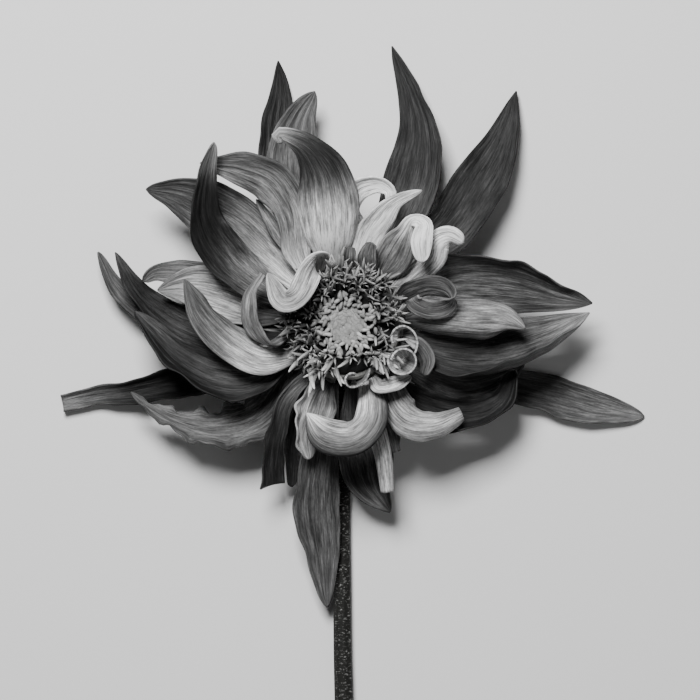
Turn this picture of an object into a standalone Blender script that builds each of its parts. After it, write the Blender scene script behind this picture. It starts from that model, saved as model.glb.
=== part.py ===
"""A faded dahlia with its cut stem, lying on its back on a flat surface.

The head faces up (+Z) and the stem runs out along -Y.  Every ray floret
(petal) is a thin closed sheet built round its own midrib; the midribs,
widths and curls below are the design of the flower.  The script works in
millimetres in a frame whose axis is the middle of the head and whose
z = 0 is the surface, and ends by moving everything so that the origin is
at the middle of the underside.
"""
import math
from dataclasses import dataclass

import bmesh
import bpy
import numpy as np
from mathutils import Vector

MM = 0.001

# ---- driving dimensions, mm -------------------------------------------
GAP = 0.3                  # clear space between touching pieces
PETAL_THICKNESS = 0.6
BRACT_THICKNESS = 0.8
RECEPTACLE_RADIUS = 11.0
RECEPTACLE_TOP = 18.2
NECK_RADIUS = 2.3
NECK_BOTTOM = 7.4
DISC_RADIUS = 9.0
DISC_TOP = 25.0
STEM_TOP_RADIUS = 1.55
STEM_END_RADIUS = 2.1
CLAW_RADIUS = RECEPTACLE_RADIUS + 2.5 * GAP
CLAW_HEIGHTS = (12.3, 14.0, 15.7, 17.4)   # rows of claws, back to front
BRACT_COUNT = 8

# ---- facets -----------------------------------------------------------
LENGTH_STEPS = 9
WIDTH_STEPS = 4
TURNED_SIDES = 28
STEM_SIDES_RESOLUTION = 3


@dataclass
class Petal:
    """One ray floret: its midrib, its widths and how its two halves curl.

    Numbers in a tuple are evenly spaced from claw to tip.
    """
    name: str
    row: int                 # 0 is the back row, 3 the front one
    angle: float             # degrees round the head, 0 at +X
    spine: tuple             # midrib points after the claw, mm
    width: tuple             # flat width, mm
    left: tuple = (20,)      # degrees that the left edge lifts
    right: tuple = (20,)     # degrees that the right edge lifts
    roll: tuple = (0,)       # degrees the face turns to the right
    face: tuple = ()         # ways the face looks; empty: up and inwards
    side: tuple = ()         # way the right edge points, on a ribbon
    tight: float = 1.0       # over 1, the curl tightens to the edge
    steps: int = LENGTH_STEPS


PETALS = (
    # back row, low, the longest ones
    Petal("tall_petal_top", 1, 57,
          ((10, 19, 13), (13.6, 29, 10), (14.8, 38, 6.6), (13.2, 46, 3.6), (9.4, 56, 1.6)),
          (3, 8.5, 11.8, 9.2, 5.2, 0.7), (26,), (26,)),
    Petal("tall_petal_upper_right", 0, 40,
          ((15, 14.5, 11.5), (21.7, 20.2, 9), (27.1, 28.3, 6), (31.5, 36.6, 3.5), (34.4, 47, 1.6)),
          (3, 8, 10.8, 11, 7, 0.7), (30,), (30,)),
    Petal("back_petal_top", 0, 113,
          ((-9, 20, 9), (-12.5, 30, 5.6), (-13.6, 39, 3), (-13, 46, 1.4), (-13.4, 53.2, 0.5)),
          (3, 7, 9, 8.5, 5.5, 0.7)),
    Petal("back_curl_petal_left", 0, 160,
          ((-20, 7.4, 11), (-30, 9.8, 10.5), (-37, 10.4, 10.5), (-40.2, 8.6, 10.5)),
          (3, 6, 7, 5, 2)),
    Petal("back_petal_left", 0, 184,
          ((-22, -0.6, 9), (-33, 0.8, 6.4), (-41, 3.5, 5.4), (-46, 8, 5), (-49.4, 14.6, 5)),
          (3, 6, 7, 6.5, 4, 1.2)),
    Petal("quill_petal_left", 0, 212,
          ((-20, -9.6, 8.4), (-32, -12, 4), (-42, -13.8, 1.6), (-50, -14.6, 0.6), (-56.8, -16, 0.5)),
          (3, 6, 8, 8, 5.5, 4.6), (80,), (80,)),
    Petal("strip_petal_lower_left", 0, 238,
          ((-9.4, -17, 9.4), (-10.6, -24, 6.8), (-10.7, -32.4, 4.2)),
          (2.4, 3, 3, 2)),
    Petal("hanging_petal_bottom", 0, 257,
          ((-4, -19, 12), (-5.2, -27, 10.4), (-5.8, -36, 8), (-4.8, -45, 6), (-3.6, -56.5, 5)),
          (3, 6, 8.5, 9.5, 6.5, 1.6), (30,), (30,)),
    Petal("scrap_petal_bottom", 0, 294,
          ((7.2, -17, 12.4), (9, -21.4, 11.9), (10.2, -25.2, 11.7)),
          (3, 4.4, 4, 1.6)),
    Petal("boat_petal_bottom", 0, 278,
          ((2.6, -20, 9.2), (4, -26, 7.4), (5.4, -32, 6.4), (9, -37.4, 6.4)),
          (3, 6.6, 11, 9, 1.2), (0, 10, 60, 60), (10, 10, 20, 40)),
    Petal("folded_petal_lower_right", 1, 308,
          ((14.5, -16, 12.8), (24, -18.5, 12), (31, -15.5, 10.8), (33.8, -9, 10.8)),
          (3, 7, 9, 7, 3), (60,), (60,)),
    Petal("quill_petal_right", 0, 321,
          ((20, -10.8, 5.8), (31, -12.2, 2), (40, -14, 0.8), (50, -16.8, 0.5), (60.2, -18.4, 0.5)),
          (3, 5, 7, 8.5, 8, 2.2), (48,), (48,)),
    Petal("dark_petal_right", 1, 327,
          ((17, -8.6, 12), (24, -10.2, 8.6), (31, -9, 7), (36, -6, 6.8)),
          (3, 9, 12, 9, 2), (-12,), (-22,)),
    # second row
    Petal("broad_petal_right", 1, 20,
          ((20, 8.3, 13.6), (28, 9, 13.4), (35, 8, 12.6), (42, 6, 11.8), (49, 4.2, 11.6)),
          (3, 10, 14, 13, 8, 1), (10, 60, 70, 50), (10,)),
    Petal("ridged_petal_top", 1, 93,
          ((-5, 19, 13.2), (-9, 27, 11.6), (-10.2, 34.5, 9.6), (-9, 41, 8.4), (-6, 46.5, 8)),
          (3, 8, 11, 11, 8, 2)),
    Petal("strip_petal_upper_left", 1, 117,
          ((-11, 15, 17.1), (-14.5, 20, 18.1), (-17.4, 24.6, 18.1)),
          (2.4, 2.6, 2.4, 0.8)),
    Petal("broad_petal_upper_left", 1, 140,
          ((-15, 13.5, 15), (-21, 19, 14.8), (-28, 23.5, 13.6), (-34, 26, 12.4), (-39.4, 26.8, 12)),
          (3, 9, 12, 12, 8, 1.6)),
    Petal("grey_petal_left", 1, 170,
          ((-17.5, 3.5, 15), (-24, 6, 15), (-31, 7.5, 14.4), (-37, 6.8, 14)),
          (3, 9, 11, 8, 1.2), (25,), (25,)),
    Petal("pointed_petal_left", 1, 192,
          ((-20, -3.2, 12.6), (-29, -1.5, 11.2), (-36, 2, 10.4), (-41.5, 7, 10), (-45.6, 14.4, 10)),
          (3, 7, 8, 7, 4.5, 0.8), (25,), (25,)),
    Petal("broad_petal_lower_left", 1, 215,
          ((-16, -17, 11.6), (-24, -20.2, 10.4), (-32, -19.3, 9.6), (-38.5, -16.5, 9.2), (-42.6, -13.4, 9.2)),
          (3, 8.5, 9.5, 8, 4, 0.8), (10,), (-35,)),
    Petal("hanging_petal_lower_left", 1, 236,
          ((-11.8, -15, 16), (-13.4, -21.5, 15), (-14.4, -27, 12.4), (-14.6, -31.8, 9.4)),
          (2.5, 3.6, 4, 4.8, 5.6), (45, 45, 20), (45, 45, 20)),
    Petal("rolled_petal_bottom", 1, 288,
          ((5.4, -18, 15.3), (7.2, -25, 15.4), (8.3, -33.2, 13.8)),
          (3, 7.5, 8, 7), (-80, -130, -165), (-80, -130, -165)),
    Petal("boat_petal_right", 1, 346,
          ((20, -6, 13.8), (30, -6.6, 12.6), (39, -3.8, 11.6), (45, -0.2, 11.6), (48.4, 2.4, 12)),
          (3, 10, 14.6, 14.4, 10, 1), (20,), (30, 110, 140, 100)),
    # third row
    Petal("rolled_petal_right", 2, 4,
          ((17, 1, 19), (24, 0.8, 19.8), (31, 0.6, 18.6), (35.5, -0.8, 17)),
          (3, 9, 11, 10.5, 1), (-80,), (-90,)),
    Petal("hook_petal_upper_right", 2, 33,
          ((14, 10, 17.6), (16.8, 12.8, 21), (17.8, 15.8, 23.4), (20.2, 17, 24.2), (23, 15.8, 23.6)),
          (3, 4.4, 5.4, 5.8, 5, 3), (0, -50, -60), (0, -50, -60), steps=11),
    Petal("fan_petal_upper_right", 2, 54,
          ((9.5, 13.2, 19), (11.6, 17.2, 21.6), (13.4, 20.2, 24), (15.4, 19.2, 25.8), (14.8, 15.6, 26.2),
           (15, 12, 25.4)),
          (3, 7, 7, 3.6, 3, 4.4, 2.4), face=((-0.4, -0.5, 1), (-0.2, -0.5, 1), (0.2, 1, 1), (0, 1, 1)),
          steps=13),
    Petal("horned_petal_top", 2, 76,
          ((4.2, 16.2, 17.8), (6.6, 20.2, 20.4), (10, 24, 22.2), (15, 26.2, 22.6)),
          (3, 5.2, 6, 3, 0.6), (20,), (-20,)),
    Petal("arched_petal_top", 1, 75,
          ((3, 17.6, 15), (0.6, 22.6, 16.8), (2.4, 26.4, 18.2), (6, 27.6, 19.2), (8.8, 26.2, 19.6),
           (8.6, 23.6, 19.2)),
          (3, 4.8, 4.6, 4.6, 4.6, 3.4, 1.4), (30,), (15,), steps=13),
    Petal("hooked_petal_top", 2, 103,
          ((-2.6, 17, 21.6), (-3, 23.5, 25), (-4.2, 29.4, 26.4), (-7.6, 34.2, 26.6), (-12.4, 36.6, 26.2),
           (-12.4, 35.2, 24.4)),
          (4, 10, 12.5, 10.5, 5.5, 2.4), (-25, -25, -30, -60), (-35, -35, -40, -60), steps=12),
    Petal("arching_petal_upper_left", 2, 128,
          ((-9.5, 15, 18.2), (-10.5, 22, 20.4), (-14.5, 28.2, 21), (-21, 30.7, 20.4), (-28.4, 31.6, 19)),
          (3, 6, 7.5, 8.6, 6.5, 1.2), (30,), (30,)),
    Petal("dark_petal_upper_left", 2, 156,
          ((-17, 8, 18.2), (-23, 13, 20.6), (-27.2, 20, 22.6), (-27, 28, 24), (-25.4, 35.4, 25)),
          (3, 7, 9, 7.5, 4.5, 1.6)),
    Petal("boat_petal_left", 2, 205,
          ((-18, -10.3, 16.2), (-26, -10.3, 15.8), (-33, -6.5, 15), (-38, -1.5, 14.4), (-41.5, 2.5, 14.2)),
          (3, 8, 10, 9, 6, 2), (50,), (50,)),
    Petal("crumpled_petal_bottom", 2, 254,
          ((-5, -14, 16.8), (-6.4, -18, 16.4), (-7.8, -22, 15.6), (-7, -26.6, 14.2)),
          (3, 7.8, 8.6, 5.8, 1.6), (15,), (20, 80, 90, 60)),
    Petal("curled_petal_bottom", 2, 292,
          ((5, -15, 19.8), (4.2, -19, 21.2), (0.8, -21.6, 21.6), (-3.8, -21, 21.2), (-7.5, -17.4, 20.2)),
          (3, 6.4, 7.8, 8.6, 7.6, 0.8), (-45,), (-50, -50, -40), steps=12),
    Petal("crumpled_petal_lower_right", 2, 314,
          ((9.5, -15, 18), (12.6, -18.4, 18.4), (17.4, -19, 17.9), (22.8, -17, 16.9)),
          (3, 7, 8.6, 7.6, 4.4), (0, -60, -70, -90), (0, -60, -70, -90)),
    Petal("tongue_petal_right", 2, 345,
          ((14.6, -4.4, 16.8), (16.2, -7, 17.2), (15.6, -10, 16.8)),
          (2.6, 3.4, 3.4, 2.2)),
    # front row, small and curled, against the disc
    Petal("ring_petal_right", 3, 26,
          ((13, 6.6, 21.2), (16.4, 7.6, 22.8), (19.6, 7, 23.2), (20.9, 5, 23.2), (19.4, 3.2, 23),
           (16.4, 2.9, 23), (13.9, 3.9, 23.2), (12.9, 5, 23.4)),
          (2, 4.2, 4.8, 4.8, 4.8, 4.6), (0,), (0,), side=(0, -0.75, -0.66), steps=20),
    Petal("short_petal_top_right", 3, 66,
          ((4.5, 13.2, 20), (5.2, 16, 21.4)), (3, 3.8, 2)),
    Petal("short_petal_top_left", 3, 86,
          ((0.8, 13.2, 19.4), (1, 15.2, 19.8)), (2.6, 2.8, 1.8)),
    Petal("wavy_ribbon_petal", 3, 118,
          ((-5.4, 13, 21), (-6.6, 10.6, 25.4), (-9, 5.6, 26.6), (-12.2, 4.8, 26), (-15, 10, 25.4)),
          (3, 5, 5, 4.6, 4, 1.2), face=((0.5, -0.8, 0.3), (0.3, -0.6, 1), (0, 0, 1), (0, 0, 1)), steps=14),
    Petal("side_ribbon_petal", 3, 190,
          ((-15, -3.8, 22.4), (-18.2, 0, 23.4), (-18.4, 5.5, 23.8), (-16, 9.8, 24)),
          (3, 4.4, 5, 4.4, 2), (0,), (0,), side=(0.6, 0, 0.8), steps=12),
    Petal("spear_petal_left", 3, 212,
          ((-16.5, -6.5, 20.2), (-22.5, -3, 21), (-27.5, 2, 21), (-31.4, 8.8, 21)),
          (3, 7, 8, 6.5, 0.8), (-30,), (-30,)),
    Petal("small_scroll_petal", 3, 277,
          ((1.6, -12.2, 20), (1.7, -12.3, 23)), (3, 8, 10.6), (20, 70, 80), (20, 200, 215), steps=7),
    Petal("lip_petal_lower_right", 3, 298,
          ((6.9, -12.3, 20.4), (10.2, -11.5, 20.8), (13, -10.2, 20.2)),
          (1.6, 3.2, 3.4, 1.2)),
    Petal("lower_scroll_petal", 3, 326,
          ((13.2, -8.4, 19.8), (13.5, -8.5, 24.2)), (3, 9.4, 16.6), (20, 180, 195), (20, 165, 170), steps=8),
    Petal("upper_scroll_petal", 3, 352,
          ((12.9, -1.1, 20), (12.4, -0.6, 22.8)), (2, 8, 12), (10, 140, 155), (10, 80, 90),
          face=((-1, 0.1, 0.4), (-0.7, -0.7, 0.4), (-0.6, -0.8, 0.4)), steps=7),
)


def clear_scene():
    """Take every object and mesh out of the file."""
    for thing in list(bpy.data.objects):
        bpy.data.objects.remove(thing)


def blend_along(values, place):
    """Read evenly spaced values at a place from 0 to 1, on a smooth curve."""
    points = np.atleast_1d(np.asarray(values, float))
    last = len(points) - 1
    if last == 0:
        return points[0]
    at = min(max(place, 0.0), 1.0) * last
    first = min(int(at), last - 1)
    t = at - first
    p1 = points[first]
    p2 = points[first + 1]
    p0 = points[first - 1] if first > 0 else 2 * p1 - p2
    p3 = points[first + 2] if first + 2 <= last else 2 * p2 - p1
    cubic = (3 * p1 - p0 - 3 * p2 + p3) * t ** 3
    square = (2 * p0 - 5 * p1 + 4 * p2 - p3) * t ** 2
    return 0.5 * (2 * p1 + (p2 - p0) * t + square + cubic)


def unit(vector):
    """Return the vector at length 1."""
    return vector / np.linalg.norm(vector)


class Midrib:
    """A smooth curve through the spine points, read by length along it."""

    SAMPLES = 160

    def __init__(self, points):
        places = np.linspace(0, 1, self.SAMPLES)
        self.track = np.array([blend_along(points, p) for p in places])
        runs = np.linalg.norm(np.diff(self.track, axis=0), axis=1)
        self.reach = np.concatenate(([0], np.cumsum(runs))) / runs.sum()

    def point(self, place):
        return np.array([np.interp(place, self.reach, axis) for axis in self.track.T])

    def heading(self, place):
        ahead = self.point(min(place + 0.01, 1.0))
        return unit(ahead - self.point(max(place - 0.01, 0.0)))


def claw_point(petal):
    """Where the petal leaves the receptacle."""
    turn = math.radians(petal.angle)
    return np.array((CLAW_RADIUS * math.cos(turn), CLAW_RADIUS * math.sin(turn),
                     CLAW_HEIGHTS[petal.row]))


def face_vector(petal, place, heading):
    """The way the upper face looks at a place along the petal."""
    if petal.side:
        return unit(np.cross(petal.side, heading))
    turn = math.radians(petal.angle)
    inwards = (-0.6 * math.cos(turn), -0.6 * math.sin(turn), 1.0)
    wanted = blend_along(petal.face or (inwards, inwards), place)
    return unit(wanted - np.dot(wanted, heading) * heading)


def petal_point(petal, midrib, place, across):
    """A point of the sheet: place runs from claw to tip, across from -1 to 1."""
    heading = midrib.heading(place)
    face = face_vector(petal, place, heading)
    right = np.cross(heading, face)
    roll = math.radians(blend_along(petal.roll, place))
    face, right = (face * math.cos(roll) + right * math.sin(roll),
                   right * math.cos(roll) - face * math.sin(roll))
    half = max(blend_along(petal.width, place), 0.3) / 2
    lift = math.radians(blend_along(petal.right if across > 0 else petal.left, place))
    spots = np.linspace(0, abs(across), 9)
    middles = (spots[1:] + spots[:-1]) / 2
    angles = lift * middles ** petal.tight
    run = half * abs(across) / len(middles)
    out = math.copysign(1, across) * np.cos(angles).sum() * run
    up = np.sin(angles).sum() * run
    return midrib.point(place) + right * out + face * up


def plain_material(name, shade, roughness, metallic=0.0):
    """A Principled material of one grey."""
    material = bpy.data.materials.new(name)
    material.use_nodes = True
    shader = material.node_tree.nodes["Principled BSDF"]
    shader.inputs["Base Color"].default_value = (shade, shade, shade, 1)
    shader.inputs["Roughness"].default_value = roughness
    shader.inputs["Metallic"].default_value = metallic
    return material


def add_object(name, data, place, shade, roughness, head):
    """Link a shape to the scene under the head, with its own material."""
    piece = bpy.data.objects.new(name, data)
    bpy.context.collection.objects.link(piece)
    data.materials.append(plain_material(name + "_finish", shade, roughness))
    piece.location = Vector(place) * MM
    piece.parent = head
    return piece


def make_sheet(petal, claw, head, thickness, shade):
    """Shape a flat grid into the petal and give it its thickness."""
    midrib = Midrib(np.array((tuple(claw),) + petal.spine))
    shape = bmesh.new()
    bmesh.ops.create_grid(shape, x_segments=petal.steps, y_segments=WIDTH_STEPS, size=1)
    for vert in shape.verts:
        spot = petal_point(petal, midrib, (vert.co.x + 1) / 2, -vert.co.y)
        vert.co = Vector((spot - claw) * MM)
    mesh = bpy.data.meshes.new(petal.name)
    shape.to_mesh(mesh)
    shape.free()
    mesh.shade_smooth()
    piece = add_object(petal.name, mesh, claw, shade, 0.55, head)
    wall = piece.modifiers.new("thickness", 'SOLIDIFY')
    wall.thickness = thickness * MM
    wall.offset = 0
    return piece


def make_petals(head):
    """Every ray floret, seated on its claw."""
    shades = (0.25, 0.35, 0.5, 0.6)
    for petal in PETALS:
        make_sheet(petal, claw_point(petal), head, PETAL_THICKNESS, shades[petal.row])


def make_bracts(head):
    """The green bracts behind the head, bent back towards the stem."""
    for number in range(BRACT_COUNT):
        angle = 22.5 + 360 * number / BRACT_COUNT
        turn = math.radians(angle)

        def at(radius, height):
            return (radius * math.cos(turn), radius * math.sin(turn), height)

        bract = Petal("bract_%d" % (number + 1), 0, angle,
                      (at(11, 8.2), at(14, 7), at(16.5, 5)),
                      (3.2, 4.6, 4.4, 1), (18,), (18,), steps=5)
        make_sheet(bract, np.array(at(7.4, 9.2)), head, BRACT_THICKNESS, 0.2)


def turned_solid(name, profile, shade, head):
    """Spin a profile of (radius, height) points about the head's axis."""
    shape = bmesh.new()
    verts = [shape.verts.new((radius * MM, 0, height * MM)) for radius, height in profile]
    edges = [shape.edges.new(pair) for pair in zip(verts, verts[1:])]
    bmesh.ops.spin(shape, geom=verts + edges, cent=(0, 0, 0), axis=(0, 0, 1),
                   angle=2 * math.pi, steps=TURNED_SIDES, use_merge=True)
    bmesh.ops.remove_doubles(shape, verts=shape.verts, dist=0.00001)
    bmesh.ops.recalc_face_normals(shape, faces=shape.faces)
    mesh = bpy.data.meshes.new(name)
    shape.to_mesh(mesh)
    shape.free()
    mesh.shade_smooth()
    mesh.set_sharp_from_angle(angle=math.radians(40))
    return add_object(name, mesh, (0, 0, 0), shade, 0.7, head)


def make_receptacle(head):
    """The solid head of the stem, which carries the petals and the disc."""
    rim = RECEPTACLE_RADIUS
    return turned_solid("receptacle", (
        (0, RECEPTACLE_TOP), (rim - 0.5, RECEPTACLE_TOP), (rim, RECEPTACLE_TOP - 0.5),
        (rim, 11.6), (rim - 1.5, 10.6), (5, 9.6), (NECK_RADIUS + 0.4, 8.6),
        (NECK_RADIUS, NECK_BOTTOM), (0, NECK_BOTTOM)), 0.25, head)


def make_disc(head):
    """The packed disc florets, as one low dome."""
    base = RECEPTACLE_TOP + GAP
    dome = DISC_TOP - base
    arc = [(DISC_RADIUS * math.cos(math.radians(a)), base + dome * math.sin(math.radians(a)))
           for a in range(90, -1, -15)]
    arc[0] = (0, DISC_TOP)
    return turned_solid("disc_florets", arc + [(0, base)], 0.6, head)


def make_stem(head):
    """The cut stem: down from the neck, round, and away along the surface."""
    route = ((0, 0, NECK_BOTTOM - 2 * GAP), (0, -0.7, 5.3), (0, -2.7, 3.4), (-0.1, -6.4, 2.3),
             (-0.4, -14, 1.8), (-0.6, -28, 1.75), (-0.6, -44, 1.8), (-0.5, -60, 1.9),
             (-0.2, -76, 2.0), (0.5, -91, 2.08), (1.6, -105, 2.1))
    midrib = Midrib(np.array(route))
    count = 30
    curve = bpy.data.curves.new("stem", 'CURVE')
    curve.dimensions = '3D'
    curve.bevel_depth = MM
    curve.bevel_resolution = STEM_SIDES_RESOLUTION
    curve.use_fill_caps = True
    line = curve.splines.new('POLY')
    line.points.add(count - 1)
    for number, point in enumerate(line.points):
        place = (number / (count - 1)) ** 1.5
        point.co = (*(midrib.point(place) * MM), 1)
        point.radius = STEM_TOP_RADIUS + (STEM_END_RADIUS - STEM_TOP_RADIUS) * place
    return add_object("stem", curve, (0, 0, 0), 0.06, 0.6, head)


def seat_on_origin(head):
    """Move the head so that the origin is at the middle of the underside."""
    bpy.context.view_layer.update()
    graph = bpy.context.evaluated_depsgraph_get()
    corners = []
    for piece in head.children:
        solid = piece.evaluated_get(graph)
        mesh = solid.to_mesh()
        spots = np.array([solid.matrix_world @ vert.co for vert in mesh.vertices])
        corners.extend((spots.min(axis=0), spots.max(axis=0)))
        solid.to_mesh_clear()
    low = np.min(corners, axis=0)
    high = np.max(corners, axis=0)
    head.location = (-(low[0] + high[0]) / 2, -(low[1] + high[1]) / 2, -low[2])


def main():
    clear_scene()
    head = bpy.data.objects.new("flower_head", None)
    bpy.context.collection.objects.link(head)
    make_receptacle(head)
    make_disc(head)
    make_stem(head)
    make_bracts(head)
    make_petals(head)
    seat_on_origin(head)


main()
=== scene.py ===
"""A faded dahlia with its cut stem: the finish of every petal, floret and bract.

The file is an add-on that is run as a script.  Each operator makes one group
of pieces, and main() calls them in order.  Lengths are in millimetres in the
head's own frame (axis of the head at x = y = 0, resting surface at z = 0)
until a piece is placed.
"""
import math
import random
from dataclasses import dataclass, replace

import bmesh
import bpy
import numpy as np
from mathutils import Euler, Matrix, Vector


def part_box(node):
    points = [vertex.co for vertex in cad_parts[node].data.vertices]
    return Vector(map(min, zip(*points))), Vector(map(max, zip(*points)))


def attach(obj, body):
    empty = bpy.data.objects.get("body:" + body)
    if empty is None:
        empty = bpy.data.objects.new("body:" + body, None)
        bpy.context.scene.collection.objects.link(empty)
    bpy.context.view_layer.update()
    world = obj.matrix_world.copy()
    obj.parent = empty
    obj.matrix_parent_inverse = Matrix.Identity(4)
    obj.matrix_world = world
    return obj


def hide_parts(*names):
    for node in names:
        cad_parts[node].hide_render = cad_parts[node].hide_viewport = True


bl_info = {
    "name": "Faded dahlia",
    "version": (1, 0, 0),
    "blender": (4, 5, 0),
    "location": "View3D > Sidebar > Dahlia",
    "description": "Petals, disc florets, bracts and stem of a faded dahlia",
    "category": "Add Mesh",
}

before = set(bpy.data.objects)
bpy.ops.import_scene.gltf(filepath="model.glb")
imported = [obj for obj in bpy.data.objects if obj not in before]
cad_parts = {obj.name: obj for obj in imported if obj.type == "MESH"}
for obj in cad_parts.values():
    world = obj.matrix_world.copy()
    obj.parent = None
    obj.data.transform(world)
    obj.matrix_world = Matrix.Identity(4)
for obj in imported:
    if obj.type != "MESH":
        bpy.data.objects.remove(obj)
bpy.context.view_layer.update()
MM = 0.001
BODY = "root"

# the head's axis and the resting surface, from the frame
DISC_LOW, DISC_HIGH = (np.array(corner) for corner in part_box("disc_florets"))
DISC_TOP = 25.0         # of the dome, mm above the surface
HEAD_CENTRE = np.array((*(DISC_LOW[:2] + DISC_HIGH[:2]) / 2, DISC_HIGH[2] - DISC_TOP * MM))

RECEPTACLE_RADIUS = 11.0
RECEPTACLE_TOP = 18.2
CLAW_RADIUS = RECEPTACLE_RADIUS + 0.75      # where the petals start
CLAW_HEIGHTS = (12.3, 14.0, 15.7, 17.4)     # one for each row, the back row first
STEM_TOP_RADIUS = 1.55
STEM_END_RADIUS = 2.1
STEM_ROUTE = ((0, 0, 6.8), (0, -0.7, 5.3), (0, -2.7, 3.4), (-0.1, -6.4, 2.3),
              (-0.4, -14, 1.8), (-0.6, -28, 1.75), (-0.6, -44, 1.8), (-0.5, -60, 1.9),
              (-0.2, -76, 2.0), (0.5, -91, 2.08), (1.6, -105, 2.1))


@dataclass
class Petal:
    """One ray floret: its midrib, its widths, how its halves curl, and its skin.

    Numbers in a tuple are evenly spaced from claw to tip.
    """
    name: str
    row: int                 # 0 is the back row, 3 the front one
    angle: float             # degrees round the head, 0 at +X
    spine: tuple             # midrib points after the claw, mm
    width: tuple             # flat width, mm
    left: tuple = (20,)      # degrees that the left edge lifts
    right: tuple = (20,)     # degrees that the right edge lifts
    face: tuple = ()         # ways the face looks; empty: up and inwards
    side: tuple = ()         # way the right edge points, on a ribbon
    # the greys hold painted shade and light: claws darkened as in the hollows' shade, petals in
    # shade darker, lit ones paler
    tones: tuple = (0.75, 0.5, 0.36)   # greys from claw to tip
    ribs: float = 5.0        # long grooves in each half
    depth: float = 1.0       # their depth, as a share of the usual one
    wave: float = 0.5        # how far the edges wave, mm
    ripple: float = 0.42     # waves along the edge, radians for each mm
    # the edge value paints shade on edges that curl away from the light; below 0 it paints pale lit
    # rims
    painted_edge_shade: float = 0.1   # how much darker the edges are
    # lean paints light and shade across the petal: one side paler, as if facing the light
    lean: float = 0.0        # how much paler the right edge is than the left
    blunt: bool = False      # its tip is open or torn, not rounded off


SCROLLS = ("upper_scroll_petal", "lower_scroll_petal", "small_scroll_petal")
SCROLL_RADIUS = 2.4      # of the tube that a scroll is rolled into, mm

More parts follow.
